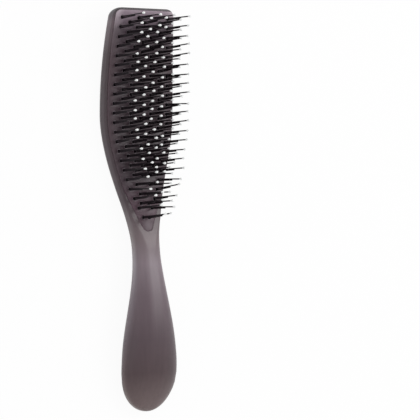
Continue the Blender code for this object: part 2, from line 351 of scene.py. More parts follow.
def calculate_colour(tree: NodeTree, operation: str, *values: object) -> NodeSocket:
    """Add a node that calculates with red, green and blue, and return its result."""
    node = add_node(tree, "ShaderNodeVectorMath", dict(enumerate(values)), operation=operation)
    return node.outputs["Vector"]


def seen_directly(tree: NodeTree) -> NodeSocket:
    """Add the nodes that tell the rays that look at a surface from those that carry its light.

    Args:
        tree: Node tree that gets the nodes.

    Returns:
        1 for camera, glossy and transmission rays, and 0 for the others.
    """
    rays = add_node(tree, "ShaderNodeLightPath").outputs
    seen = calculate(tree, "MAXIMUM", rays["Is Camera Ray"], rays["Is Glossy Ray"])
    return calculate(tree, "MAXIMUM", seen, rays["Is Transmission Ray"])


@dataclass(frozen=True)
class Tone:
    """Colour that a smoky plastic shows at one place along the brush, measured from the butt."""

    along: float
    colour: str


# Painted light along the handle: the neck is painted pale where thin plastic lets light through, and the
# head's top gets a painted highlight.
HANDLE_TONES = {
    "butt_edge": Tone(3 * MM, "#6a5b5b"),
    "butt": Tone(22 * MM, "#4d3e41"),
    "grip_thickest": Tone(41 * MM, "#53454b"),
    "grip_taper": Tone(66 * MM, "#675960"),
    "neck_arch": Tone(84 * MM, "#7e7178"),
    "neck": Tone(98 * MM, "#726568"),
    "shoulders": Tone(120 * MM, "#44383d"),
    "head": Tone(203 * MM, "#44393d"),
    # Painted highlight at the head's top.
    "head_top": Tone(222 * MM, "#605258"),
    "top_edge": Tone(228 * MM, "#484145"),
}
PLATE_TONES = {
    "tip": Tone(105 * MM, "#6a5a60"),
    "above_tip": Tone(116 * MM, "#705c64"),
    "shoulders": Tone(132 * MM, "#53464c"),
    "lower_tufts": Tone(148 * MM, "#47393f"),
    "upper_tufts": Tone(200 * MM, "#4e3f45"),
    # Painted highlight: the plate is painted lighter towards its top edge.
    "top_tufts": Tone(217 * MM, "#63585e"),
    "top_edge": Tone(227 * MM, "#b0a3ab"),
}
# Painted highlight: the socket mouths are painted lighter than the plate, for the light caught at each tuft's
# foot.
SOCKET_HIGHLIGHT_TONES = {
    "lowest_socket": Tone(100 * MM, "#6e646a"),
    "highest_socket": Tone(227 * MM, "#6e646a"),
}


@dataclass(frozen=True)
class SmokyPlastic:
    """Translucent smoke-tinted styrene plastic, injection moulded: satin gloss, lighter where it is thin.

    The tones run along the brush and paint in light: a thin neck is painted pale, as smoky plastic looks
    where light comes through it, and a thick grip looks brown and deep. The lighter head top is a painted
    highlight.

    Attributes:
        name: Name of the material.
        tones: Tones along the brush from the butt up, each under the feature that shows it.
        length: Length of the brush, over which the tones run.
        roughness: Lowest and highest roughness of the satin surface.
        painted_bristle_shade: Shares of red, green and blue left in the plate's middle, a painted shade that
            stands for the shadow of the bristles crowded there.
        painted_shade_reach: Distances from the middle where that painted shade starts to fade and where it
            has gone.
        painted_side_lift: How many times lighter in red, green and blue the sides are painted, a painted
            reflection of
        the bright surroundings.
        side_turn: Upright part of the surface's normal where that lift starts to fade and where it has gone.
        flow_width: Width of the faint streaks that the melt leaves as it flows along the mould.
        flow_width_share: Share of a streak's length that is its width.
        flow_levels: Levels of the noise that give the darkest and the lightest streaks.
        flow_shades: How many times lighter those streaks are.
        grain: Size of the fine polish marks, drawn coarser than real ones so that they show.
        grain_strength: Strength of the marks' bump.
        grain_depth: Depth of the marks.
        ior: Index of refraction.
        specular: Level of the gloss, low for a satin moulding.
        scatter: Share of light that scatters under the surface.
        scatter_tint: How far red, green and blue go there, for each unit of depth.
        scatter_depth: Depth of the scattering.
    """

    name: str
    tones: dict[str, Tone]
    length: float
    roughness: tuple[float, float] = (0.28, 0.38)
    painted_bristle_shade: tuple[float, float, float] = ALIKE
    painted_shade_reach: tuple[float, float] = (15 * MM, 20 * MM)
    painted_side_lift: tuple[float, float, float] = (1.53, 1.74, 1.67)
    side_turn: tuple[float, float] = (0.15, 0.6)
    flow_width: float = 2.2 * MM
    flow_width_share: float = 0.06
    flow_levels: tuple[float, float] = (0.3, 0.7)
    flow_shades: tuple[float, float] = (0.95, 1.05)
    grain: float = 0.45 * MM
    grain_strength: float = 0.08
    grain_depth: float = 0.02 * MM
    ior: float = 1.5
    specular: float = 0.3
    scatter: float = 0.25
    scatter_tint: tuple[float, float, float] = (1.0, 0.85, 0.88)
    scatter_depth: float = 2.5 * MM

    def tone(self, tree: NodeTree, place: NodeSocket) -> NodeSocket:
        """Add the nodes that run the tones along the brush.

        Args:
            tree: Node tree of the material.
            place: Object coordinates.

        Returns:
            The colour along the brush, with painted shade in the plate's middle among its bristles.
        """
        axes = add_node(tree, "ShaderNodeSeparateXYZ", {"Vector": place}).outputs
        share = map_range(tree, axes["Y"], (-self.length / 2, self.length / 2))
        ramp = add_node(tree, "ShaderNodeValToRGB", {"Fac": share})
        elements = ramp.color_ramp.elements  # A new ramp has two of them
        for index, tone in enumerate(self.tones.values()):
            element = elements[index] if index < len(elements) else elements.new(1.0)
            element.position = tone.along / self.length
            element.color = linear_colour(tone.colour)
        # Painted shade: the plate's middle is darkened where the bristles would shadow it.
        outwards = map_range(tree, calculate(tree, "ABSOLUTE", axes["X"]), self.painted_shade_reach)
        gain = tuple(1 - channel for channel in self.painted_bristle_shade)
        shade = calculate_colour(tree, "MULTIPLY_ADD", gain, outwards, self.painted_bristle_shade)
        return calculate_colour(tree, "MULTIPLY", ramp.outputs["Color"], shade)

    def lift(self, tree: NodeTree) -> NodeSocket:
        """Add the nodes that make the sides lighter, by how far the surface turns from up or down.

        Args:
            tree: Node tree of the material.

        Returns:
            How many times lighter the surface is painted, in red, green and blue: a painted reflection on the
            sides.
        """
        normal = add_node(tree, "ShaderNodeSeparateXYZ", {
            "Vector": add_node(tree, "ShaderNodeNewGeometry").outputs["Normal"]})
        # Painted reflection: the sides are painted lighter by how far the surface turns from up or down.
        upright = calculate(tree, "ABSOLUTE", normal.outputs["Z"])
        gain = tuple(channel - 1 for channel in self.painted_side_lift)
        sideways = map_range(tree, upright, self.side_turn, (1.0, 0.0))
        return calculate_colour(tree, "MULTIPLY_ADD", gain, sideways, ALIKE)

    def build(self) -> Material:
        """Build the material.

        Returns:
            The plastic, with its tones, streaks and polish marks, and its painted light, shade and
            reflection.
        """
        material, tree = new_material(self.name)
        place = add_node(tree, "ShaderNodeTexCoord").outputs["Object"]
        across, along = 1 / self.flow_width, self.flow_width_share / self.flow_width
        stretched = add_node(tree, "ShaderNodeMapping", {"Vector": place, "Scale": (across, along, across)})
        flow = add_node(tree, "ShaderNodeTexNoise", {"Vector": stretched.outputs["Vector"], "Scale": 1.0})
        streaks = map_range(tree, flow.outputs["Fac"], self.flow_levels, self.flow_shades)
        streaked = add_node(tree, "ShaderNodeVectorMath", {
            0: self.tone(tree, place), "Scale": streaks}, operation="SCALE")
        # The streaked tone with the painted reflection on its sides.
        tinted = calculate_colour(tree, "MULTIPLY", streaked.outputs["Vector"], self.lift(tree))
        polish = fine_noise(tree, place, self.grain)
        bump = add_node(tree, "ShaderNodeBump", {
            "Height": polish, "Strength": self.grain_strength, "Distance": self.grain_depth})
        shader = add_node(tree, "ShaderNodeBsdfPrincipled", {
            "Base Color": tinted, "Roughness": map_range(tree, polish, target=self.roughness),
            "Normal": bump.outputs["Normal"], "IOR": self.ior, "Specular IOR Level": self.specular,
            "Subsurface Weight": self.scatter, "Subsurface Radius": self.scatter_tint,
            "Subsurface Scale": self.scatter_depth})
        finish_surface(tree, shader)
        return material


@dataclass(frozen=True)
class Nylon:
    """Black nylon monofilament, extruded and cut: nearly black, with a soft sheen along its round side.

    Attributes:
        name: Name of the material.
        colour: Colour of the nylon.
        roughness: Lowest and highest roughness of the drawn surface.
        draw_mark: Spacing of the faint bands left as the filament is drawn.
        ior: Index of refraction of nylon.
        specular: Level of the gloss, low for a dull filament.
    """

    name: str = "black_nylon_monofilament"
    colour: str = "#181016"
    roughness: tuple[float, float] = (0.42, 0.58)
    draw_mark: float = 1.2 * MM
    ior: float = 1.53
    specular: float = 0.2

    def build(self) -> Material:
        """Build the material.

        Returns:
            The nylon, with its faint bands.
        """
        material, tree = new_material(self.name)
        place = add_node(tree, "ShaderNodeTexCoord").outputs["Object"]
        sheen = map_range(tree, fine_noise(tree, place, self.draw_mark), target=self.roughness)
        shader = add_node(tree, "ShaderNodeBsdfPrincipled", {
            "Base Color": linear_colour(self.colour), "Roughness": sheen, "IOR": self.ior,
            "Specular IOR Level": self.specular})
        finish_surface(tree, shader)
        return material


@dataclass(frozen=True)
class DippedResin:
    """Pale epoxy resin, dipped and cured in a drop: glossy, milky white, a little grey in its shade.

    Attributes:
        name: Name of the material.
        colour: Colour of the lit drop.
        cloud_colour: Colour where the drop is cloudier.
        cloud: Size of the cloudy patches.
        cloud_levels: Levels of the noise where the drop is clearest and where it is cloudiest.
        roughness: Roughness of the glossy drop.
        ior: Index of refraction of epoxy.
        scatter: Share of light that scatters in the drop.
        scatter_depth: Depth of the scattering.
    """

    name: str = "dipped_pale_resin"
    colour: str = "#fcfdfc"
    cloud_colour: str = "#eff3f3"
    cloud: float = 0.8 * MM
    cloud_levels: tuple[float, float] = (0.35, 0.75)
    roughness: float = 0.16
    ior: float = 1.5
    scatter: float = 0.3
    scatter_depth: float = 0.5 * MM

    def build(self) -> Material:
        """Build the material.

        Returns:
            The resin, with its cloudy patches.
        """
        material, tree = new_material(self.name)
        place = add_node(tree, "ShaderNodeTexCoord").outputs["Object"]
        ramp = add_node(tree, "ShaderNodeValToRGB", {"Fac": fine_noise(tree, place, self.cloud)})
        colours = (self.colour, self.cloud_colour)
        for element, level, colour in zip(ramp.color_ramp.elements, self.cloud_levels, colours):
            element.position, element.color = level, linear_colour(colour)
        shader = add_node(tree, "ShaderNodeBsdfPrincipled", {
            "Base Color": ramp.outputs["Color"], "Roughness": self.roughness, "IOR": self.ior,
            "Subsurface Weight": self.scatter, "Subsurface Radius": ALIKE,
            "Subsurface Scale": self.scatter_depth})
        finish_surface(tree, shader)
        return material


@dataclass(frozen=True)
class StudioPaper:
    """Matt white background paper, laid flat: the camera and reflections see it white, with a faint shadow.

    Attributes:
        name: Name of the material.
        colour: Colour of the paper.
        roughness: Roughness of the matt paper.
        share_white: Share of plain white in what is seen of the paper, where the rest is the lit paper.
    """

    name: str = "white_background_paper"
    colour: str = "#f2f2f2"
    roughness: float = 0.9
    share_white: float = 0.94

    def build(self) -> Material:
        """Build the material.

        Returns:
            The paper, lit for the rays that carry light and nearly plain white for the others.
        """
        material, tree = new_material(self.name)
        lit = add_node(tree, "ShaderNodeBsdfPrincipled", {
            "Base Color": linear_colour(self.colour), "Roughness": self.roughness, "Specular IOR Level": 0.0})
        white = add_node(tree, "ShaderNodeEmission", {"Color": linear_colour(WHITE), "Strength": 1.0})
        share = calculate(tree, "MULTIPLY", seen_directly(tree), self.share_white)
        paper = add_node(tree, "ShaderNodeMixShader", {
            "Fac": share, 1: lit.outputs["BSDF"], 2: white.outputs["Emission"]})
        finish_surface(tree, paper)
        return material


# The brush


@dataclass(frozen=True)
class BrushLines:
    """The lines that the brush is drawn by: its widths, thicknesses and heights along its length.

    Places and heights are in metres, from the butt and from the surface that the brush lies on. The back
    rests at the grip, rises to an arch under the neck, rests again at the head's belly and bends up to the
    head's top.
    """

    butt_length: float = 22 * MM
    grip_taper_length: float = 70 * MM
    head_flare_length: float = 78 * MM
    head_upper_length: float = 60 * MM
    grip_width: float = 37.3 * MM
    neck_width: float = 18.1 * MM
    head_width: float = 49.9 * MM
    head_top_width: float = 43.4 * MM
    head_corner_radius: float = 5 * MM
    grip_thickness: float = 19 * MM
    neck_thickness: float = 10.1 * MM
    head_thickness: float = 8.1 * MM
    grip_thickest_offset: float = 18 * MM
    neck_thinning_length: float = 18 * MM
    butt_tip_height: float = 5 * MM
    butt_lift_length: float = 12 * MM
    neck_arch: float = 4.7 * MM
    neck_arch_offset: float = 9 * MM
    arch_rise_length: float = 49 * MM
    arch_fall_length: float = 63 * MM
    belly_rest_length: float = 6 * MM
    head_bend_radius: float = 345 * MM
    plate_tip_offset: float = 10.6 * MM
    plate_step: float = 0.8 * MM
    plate_step_length: float = 30 * MM

    @property
    def neck_at(self) -> float:
        """Place of the narrowest part of the neck."""
        return self.butt_length + self.grip_taper_length

    @property
    def head_widest_at(self) -> float:
        """Place of the widest part of the head."""
        return self.neck_at + self.head_flare_length

    @property
    def length(self) -> float:
        """Length of the whole brush."""
        return self.head_widest_at + self.head_upper_length

    @property
    def head_bend_at(self) -> float:
        """Place from which the head bends up towards the bristle side."""
        return self.neck_at - self.neck_arch_offset + self.arch_fall_length + self.belly_rest_length

    @property
    def plate_tip_at(self) -> float:
        """Place of the bristle plate's tip on the neck."""
        return self.neck_at + self.plate_tip_offset

    def side(self, along: float) -> float:
        """Return the half width, before the corners at the top are rounded.

        Args:
            along: Place along the brush.

        Returns:
            Distance of the side from the middle.
        """
        grip, neck, head, top = (width / 2 for width in (
            self.grip_width, self.neck_width, self.head_width, self.head_top_width))
        if along < self.butt_length:
            return grip * (1 - quarter_drop(1 - along / self.butt_length))
        if along < self.neck_at:
            return between(grip, neck, ease((along - self.butt_length) / self.grip_taper_length))
        if along < self.head_widest_at:
            return between(neck, head, ease((along - self.neck_at) / self.head_flare_length))
        return between(head, top, ((along - self.head_widest_at) / self.head_upper_length) ** 2)

    def half_width(self, along: float) -> float:
        """Return the half width with its rounded top corners."""
        radius = self.head_corner_radius
        return self.side(along) - radius * quarter_drop(1 - (self.length - along) / radius)

    def thickness(self, along: float) -> float:
        """Return the thickness, before the head's end is rounded.

        Args:
            along: Place along the brush.

        Returns:
            Height of the face over the back.
        """
        thickest_at = self.butt_length + self.grip_thickest_offset
        if along < thickest_at:
            return self.grip_thickness * (1 - quarter_drop(1 - along / thickest_at))
        if along < self.neck_at:
            share = (along - thickest_at) / (self.neck_at - thickest_at)
            return between(self.grip_thickness, self.neck_thickness, ease(share))
        share = (along - self.neck_at) / self.neck_thinning_length
        return between(self.neck_thickness, self.head_thickness, ease(share))

    def back(self, along: float) -> float:
        """Return the height of the back above the surface that the brush lies on.

        Args:
            along: Place along the brush.

        Returns:
            Height of the back, 0 where it rests.
        """
        arch_at = self.neck_at - self.neck_arch_offset
        if along < self.butt_lift_length:
            return self.butt_tip_height * quarter_drop(1 - along / self.butt_lift_length)
        if along < arch_at:
            return self.neck_arch * ease((along - arch_at + self.arch_rise_length) / self.arch_rise_length)
        if along < arch_at + self.arch_fall_length:
            return self.neck_arch * ease((arch_at + self.arch_fall_length - along) / self.arch_fall_length)
        return self.head_bend_radius * quarter_drop((along - self.head_bend_at) / self.head_bend_radius)

    def face(self, along: float) -> float:
        """Return the height of the brush's face, which the bristles stand on."""
        return self.back(along) + self.thickness(along)

    def front(self, along: float) -> float:
        """Return the height of the handle's own front, a step lower than the plate's on the head."""
        return self.face(along) - self.plate_step * ease((along - self.plate_tip_at) / self.plate_step_length)

    def to_frame(self, across: float, along: float, height: float) -> Point:
        """Turn a place measured from the butt into one in the frame."""
        return across, along - self.length / 2, height


@dataclass(frozen=True)
class Level:
    """One level of a block that follows the head.

    Attributes:
        grow: Clearance round the plate's outline at this level.
        height: Height over the line that the level follows.
        line: Line of the brush that the level follows along its length.
    """

    grow: float
    height: float
    line: Callable[[float], float]


@dataclass
class Handle:
    """The one-piece handle and head, with the pocket that the bristle plate sits in.

    A land is the flat middle of the section's front or back, between its round sides. The crease runs between
    the head's side and its rim, and fades out in the neck.
    """

    lines: BrushLines
    crease_inset: float = 0.2 * MM
    crease_drop: float = 1.2 * MM
    rim_rounding: float = 1.4 * MM
    crease_fade_length: float = 20 * MM
    grip_front_land: float = 3 * MM
    grip_back_land: float = 7 * MM
    back_rounding: float = 3 * MM
    back_fade_length: float = 34 * MM
    end_back_rounding: float = 4.5 * MM
    end_back_rise: float = 4 * MM
    end_front_rounding: float = 1.2 * MM
    end_front_drop: float = 1 * MM
    lip_chamfer: float = 0.1 * MM
    overrun: float = 2 * MM
    back_steps: int = 14
    side_steps: int = 7
    butt_steps: int = 18
    butt_face_share: float = 0.4
    length_steps: int = 96
    corner_steps: int = 14

    def front_side(self, half_width: float, middle: float, front: float,
                   crease_share: float) -> list[tuple[float, ...]]:
        """Return the front side of the section, from its widest point inwards.

        Args:
            half_width: Half the width of the section.
            middle: Height of the section's widest point.
            front: Height of the section's front.
            crease_share: 0 for the grip's round side, 1 for the head's side with its crease.

        Returns:
            Points as distance from the middle and height.
        """
        steps = self.side_steps
        land = min(self.grip_front_land / 2, half_width / 2)
        crease = half_width - self.crease_inset
        crease_height = max(front - self.crease_drop, middle)
        points = []
        for step in range(2 * steps + 1):
            angle = math.pi / 2 * step / (2 * steps)
            rounded = (between(land, half_width, math.cos(angle)), between(middle, front, math.sin(angle)))
            if step <= steps:
                share = step / steps
                creased = (half_width - self.crease_inset * share ** 2, between(middle, crease_height, share))
            else:
                share = step / steps - 1
                creased = (crease - self.rim_rounding * share,
                           between(front, crease_height, (1 - share) ** 2))
            points.append(tuple(between(*pair, crease_share) for pair in zip(rounded, creased)))
        return points

    def section(self, along: float) -> Ring:
        """Return the ring of points of the section, from the back up its right side and down its left.

        Args:
            along: Place along the brush.

        Returns:
            Points in the frame.
        """
        lines = self.lines
        to_top = lines.length - along
        back = lines.back(along) + self.end_back_rise * quarter_drop(1 - to_top / self.end_back_rounding)
        front = lines.front(along) - self.end_front_drop * quarter_drop(1 - to_top / self.end_front_rounding)
        half_width = lines.half_width(along)
        middle = (front + back) / 2
        back_share = ease((along - lines.neck_at) / self.back_fade_length)
        grip_land = min(self.grip_back_land / 2, half_width / 2)
        land = between(grip_land, half_width - self.back_rounding, back_share)
        right = []
        for step in range(self.back_steps):
            angle = math.pi / 2 * step / self.back_steps
            right.append((between(land, half_width, math.sin(angle)), between(middle, back, math.cos(angle))))
        crease_share = ease((along - lines.neck_at) / self.crease_fade_length)
        right += self.front_side(half_width, middle, front, crease_share)
        left = [(-across, height) for across, height in reversed(right)]
        return [lines.to_frame(across, along, height) for across, height in right + left]

    def stations(self) -> list[float]:
        """Return the places along the brush at which its section is taken.

        Returns:
            Places from the butt up, closer together at the two round ends.
        """
        start, end, radius = self.lines.butt_length, self.lines.length, self.lines.head_corner_radius
        butt = [start * quarter_drop((step + self.butt_face_share) / self.butt_steps)
                for step in range(self.butt_steps)]
        straight = [between(start, end - radius, step / self.length_steps)
                    for step in range(self.length_steps)]
        top = [end - radius * (1 - math.sin(math.pi / 2 * step / self.corner_steps))
               for step in range(self.corner_steps + 1)]
        return sorted(butt + straight + top)

    def build(self, plastic: Material, plate: "BristlePlate") -> Object:
        """Build the handle, cut its pocket and dress it.

        Args:
            plastic: Material of the handle.
            plate: The plate that the pocket is cut for.

        Returns:
            The finished piece.
        """
        piece = wrap_grid("handle_shell", [self.section(along) for along in self.stations()])
        piece.data.materials.append(plastic)
        lines, gap, chamfer = self.lines, plate.fit_gap, self.lip_chamfer
        cutter = plate.outline_block("pocket_cutter", [
            Level(gap, -plate.thickness - gap, lines.face), Level(gap, -chamfer, lines.front),
            Level(gap + chamfer, 0.0, lines.front), Level(gap + chamfer, self.overrun, lines.face)])
        cutter.data.materials.append(plastic)
        cut_away(piece, cutter)
        dress(piece, "smoky_plastic", "handle_body")
        return piece


@dataclass
class BristlePlate:
    """The plate let into the head's front, drilled with a socket for each tuft."""

    lines: BrushLines
    thickness: float = 6 * MM
    rim: float = 1.6 * MM
    top_rim: float = 1.4 * MM
    corner_radius: float = 2.8 * MM
    tip_radius: float = 4 * MM
    tip_half_angle: float = math.radians(25.5)
    fit_gap: float = 0.06 * MM
    edge_rounding: float = 0.35 * MM
    socket_width: float = 2.0 * MM
    socket_mouth_width: float = 2.9 * MM
    socket_mouth_depth: float = 0.22 * MM
    socket_depth: float = 1.6 * MM
    socket_sides: int = 14
    edge_steps: int = 3
    arc_steps: int = 9
    cross_spacing: float = 2.4 * MM

    @property
    def top_at(self) -> float:
        """Place of the plate's top edge."""
        return self.lines.length - self.top_rim

    def side(self, along: float, grow: float = 0.0) -> float:
        """Return the half width, before the top corners are rounded.

        Args:
            along: Place along the brush.
            grow: Clearance that the outline is grown by.

        Returns:
            Distance of the side from the middle.
        """
        rim_side = self.lines.side(along) - self.rim + grow
        radius = self.tip_radius + grow
        past_centre = along - (self.lines.plate_tip_at + self.tip_radius)
        if past_centre < -radius * math.sin(self.tip_half_angle):
            return math.sqrt(max(radius * radius - past_centre * past_centre, 0.0))
        tip_side = radius / math.cos(self.tip_half_angle) + past_centre * math.tan(self.tip_half_angle)
        return min(rim_side, tip_side)

    def outline(self, grow: float) -> list[tuple[float, float]]:
        """Return the plate's outline, from its tip up the right side and down the left.

        Args:
            grow: Clearance that the outline is grown by.

        Returns:
            Points across and along the brush.
        """
        radius = self.tip_radius + grow
        turn = math.pi / 2 - self.tip_half_angle
        first = self.lines.plate_tip_at + self.tip_radius
        tip = [first - radius * math.cos(turn * step / self.arc_steps)
               for step in range(1, self.arc_steps + 1)]
        corner = self.corner_radius + grow
        corner_start = self.top_at - self.corner_radius
        count = int((corner_start - first) / self.cross_spacing)
        straight = [between(first, corner_start, step / count) for step in range(count)]
        arc = [corner_start + corner * math.sin(math.pi / 2 * step / self.arc_steps)
               for step in range(self.arc_steps + 1)]
        right = [(self.side(along, grow) - corner * quarter_drop((along - corner_start) / corner), along)
                 for along in tip + straight + arc]
        left = [(-across, along) for across, along in reversed(right)]
        return [(0.0, self.lines.plate_tip_at - grow)] + right + left

    def outline_block(self, name: str, levels: list[Level]) -> Object:
        """Build a block with the plate's outline whose levels follow the head's curve.

        Args:
            name: Name of the block.
            levels: The block's levels, from the lowest up.

        Returns:
            The block, sliced across so that it can follow the curve.
        """
        lines = self.lines
        block = wrap_grid(name, [[lines.to_frame(across, along, level.height)
                                  for across, along in self.outline(level.grow)] for level in levels])
        count = int((self.top_at - lines.plate_tip_at) / self.cross_spacing)
        with editing(block):
            for step in range(1, count):
                bpy.ops.mesh.select_all(action="SELECT")
                place = between(lines.plate_tip_at, self.top_at, step / count) - lines.length / 2
                bpy.ops.mesh.bisect(plane_co=(0.0, place, 0.0), plane_no=(0.0, 1.0, 0.0),
                                    threshold=MERGE_DISTANCE)

        def settle(co: Vector) -> Point:
            """Raise a point of the straight block to the lines that its levels follow.

            Args:
                co: Place of the point.

            Returns:
                Its new place.
            """
            along = co.y + lines.length / 2
            upper = next((index for index, level in enumerate(levels) if index and co.z <= level.height), -1)
            low, high = levels[upper - 1], levels[upper]
            share = (co.z - low.height) / (high.height - low.height)
            return co.x, co.y, co.z + between(low.line(along), high.line(along), share)

        place_points(block, settle)
        return block

    def socket_cutter(self, tufts: list["Tuft"], plastic: Material) -> Object:
        """Build one cutter for all the sockets: a turned plug with a wide mouth, copied to each tuft.

        Args:
            tufts: The tufts that the sockets are for.
            plastic: Material of the sockets' walls and mouths, painted lighter than the plate as a painted
                highlight.

        Returns:
            The plugs, joined into one.
        """
        mouth = self.socket_mouth_width / self.socket_width
        steps = [(self.socket_depth - self.socket_mouth_depth, 1.0), (self.socket_mouth_depth, mouth),
                 (self.socket_depth, 1.0)]
        plug = extrude_rod(self.socket_sides, self.socket_width, 0.0, steps, plastic)
        copies = []
        for tuft in tufts:
            copy = copy_piece(plug)
            copy.location = self.lines.to_frame(tuft.across, tuft.along, tuft.height - self.socket_depth)
            copies.append(copy)
        bpy.data.objects.remove(plug)
        return join_pieces("socket_cutter", copies)

    def build(self, plastic: Material, socket_highlight_plastic: Material,
              tufts: list["Tuft"]) -> Object:
        """Build the plate, drill its sockets and dress it.

        Args:
            plastic: Material of the plate.
            socket_highlight_plastic: Material of the sockets' walls and mouths, painted lighter than the
                plate as a painted
            highlight.
            tufts: The tufts that the sockets are for.

        Returns:
            The finished piece.
        """
        levels = [Level(0.0, -self.thickness, self.lines.face)]
        for step in range(self.edge_steps + 1):
            share = step / self.edge_steps
            levels.append(Level(-self.edge_rounding * quarter_drop(share), -self.edge_rounding * (1 - share),
                                self.lines.face))
        piece = self.outline_block("socket_plate", levels)
        piece.data.materials.append(plastic)
        cut_away(piece, self.socket_cutter(tufts, socket_highlight_plastic))
        dress(piece, "plate_plastic", "bristle_plate")
        return piece


@dataclass(frozen=True)
class Tuft:
    """One tuft: its column, its place, and the height of the plate there."""

    column: int
    across: float
    along: float
    height: float


class StrandKind(Enum):
    """The two lengths of strand in each tuft."""

    LONG = "long"
    SHORT = "short"


@dataclass
class BristleField:
    """The tufts of the brush, in columns that fan out with the head.

    The columns' least offsets and ends are given from the outer column to the middle one. A rise is a height
    over the plate. Lean and bow are the spreads of the strands' slopes and of their curves at the tip, and
    huddle is the slope by which each short strand leans towards its long one. A ball's seat is where its
    strand ends in it.
    """

    lines: BrushLines
    plate: BristlePlate
    pitch: float = 5.41 * MM
    edge_margin: float = 4.35 * MM
    side_columns: int = 3
    column_spacing: float = 5.9 * MM
    column_least_spacing: float = 2 * MM
    column_least_offsets: tuple[float, ...] = (0.0, 2.7 * MM, 4.5 * MM, 0.0)
    column_ends: tuple[float, ...] = (1 * MM, 4.8 * MM, 11.8 * MM, 11.8 * MM)
    spacing: float = 0.8 * MM
    stagger: float = 0.4 * MM
    strand_width: float = 0.72 * MM
    strand_sides: int = 8
    strand_steps: int = 5
    strand_tip: float = 0.12 * MM
    strand_tip_share: float = 0.7
    long_rise: float = 21.4 * MM
    short_rise: float = 11.8 * MM
    ball_height: float = 2.3 * MM
    ball_width: float = 1.4 * MM
    ball_widest_share: float = 0.62
    ball_seat_share: float = 0.8
    ball_neck_share: float = 1.08
    ball_segments: int = 10
    ball_rings: int = 8
    root_depth: float = 1.5 * MM
    lean: float = math.radians(1.3)
    huddle: float = 0.02
    bow: float = 0.012
    seed: int = 7

    @property
    def columns(self) -> range:
        """The columns of tufts, from the left side of the head to its right."""
        return range(2 * self.side_columns + 1)

    def from_edge(self, column: int) -> int:
        """Return how many columns a column lies in from the nearer outer one."""
        return min(column, self.columns[-1] - column)

    def outer_column(self, along: float) -> float:
        """Return how far the outer columns stand from the middle."""
        return self.plate.side(along) - self.edge_margin

    def column_offset(self, from_edge: int, along: float) -> float:
        """Return how far a column stands from the middle.

        Args:
            from_edge: How many columns it lies in from the nearer outer one.
            along: Place along the brush.

        Returns:
            Distance of the column from the middle, less where the head is narrower.
        """
        if from_edge == 0:
            return self.outer_column(along)
        if from_edge == self.side_columns:
            return 0.0
        spaced = self.outer_column(along) - from_edge * self.column_spacing
        inside_next = self.column_offset(from_edge - 1, along) - self.column_least_spacing
        return max(min(max(spaced, self.column_least_offsets[from_edge]), inside_next), 0.0)

    def tufts(self) -> list[Tuft]:
        """Place every tuft.

        Returns:
            The tufts, column by column, and in each from the head's top down.
        """
        found = []
        for column in self.columns:
            from_edge = self.from_edge(column)
            along = self.plate.top_at - self.edge_margin - (from_edge % 2) * self.pitch / 2
            while self.outer_column(along) > self.column_ends[from_edge]:
                across = math.copysign(self.column_offset(from_edge, along), column - self.side_columns)
                found.append(Tuft(column, across, along, self.lines.face(along)))
                along -= self.pitch
        return found

    def strand_template(self, kind: StrandKind, nylon: Material) -> Object:
        """Extrude one strand of nylon over the origin, from a round foot to a narrowed tip.

        Args:
            kind: Which of a tuft's two strands it is.
            nylon: Material of the strand.

        Returns:
            The strand, with its root below the plate.
        """
        seat = self.long_rise - self.ball_height * self.ball_seat_share
        rise = self.short_rise if kind is StrandKind.SHORT else seat
        straight = [((rise - self.strand_tip) / self.strand_steps, 1.0)] * self.strand_steps
        steps = [(self.root_depth, 1.0), *straight, (self.strand_tip, self.strand_tip_share)]
        return extrude_rod(self.strand_sides, self.strand_width, -self.root_depth, steps, nylon)

    def ball_template(self, resin: Material) -> Object:
        """Shape one ball tip, a drop that is widest in its upper half, from a sphere.

        Args:
            resin: Material of the ball.

        Returns:
            The ball, at its height over the origin.
        """
        select_only()
        bpy.ops.mesh.primitive_uv_sphere_add(segments=self.ball_segments, ring_count=self.ball_rings,
                                             radius=1.0)
        ball = bpy.context.object
        neck = self.strand_width / 2 * self.ball_neck_share

        def drop(co: Vector) -> Point:
            """Move a point of the sphere onto the drop.

            Args:
                co: Place of the point.

            Returns:
                Its new place.
            """
            share = (co.z + 1) / 2
            widest = self.ball_widest_share
            if share > widest:
                radius = self.ball_width / 2 * math.sqrt(max(1 - ((share - widest) / (1 - widest)) ** 2, 0.0))
            else:
                radius = between(neck, self.ball_width / 2, ease(share / widest))
            level = math.hypot(co.x, co.y)
            scale = radius / level if 0.0 < share < 1.0 and level > POLE_REACH else 0.0
            return co.x * scale, co.y * scale, self.long_rise - self.ball_height * (1 - share)

        place_points(ball, drop)
        with editing(ball):
            face_outwards()
        ball.data.materials.append(resin)
        return ball

    def plant(self, template: Object, foot: Point, sway: tuple[float, float, float, float]) -> Object:
        """Copy a strand or a ball to a foot, leaning and bowed as nylon stands after use.

        Args:
            template: The strand or ball, modelled over the origin.
            foot: Place of the strand's foot on the plate.
            sway: Lean across and along as slopes, and bow across and along at the tip as shares of the rise.

        Returns:
            The planted copy.
        """
        lean_x, lean_y, bow_x, bow_y = sway

        def stand(co: Vector) -> Point:
            """Move a point of the template to the foot and sway it.

            Args:
                co: Place of the point.

            Returns:
                Its new place.
            """
            rise = max(co.z, 0.0)
            curve = rise * rise / self.long_rise
            return (co.x + foot[0] + lean_x * rise + bow_x * curve,
                    co.y + foot[1] + lean_y * rise + bow_y * curve, co.z + foot[2])

        copy = copy_piece(template)
        place_points(copy, stand)
        return copy

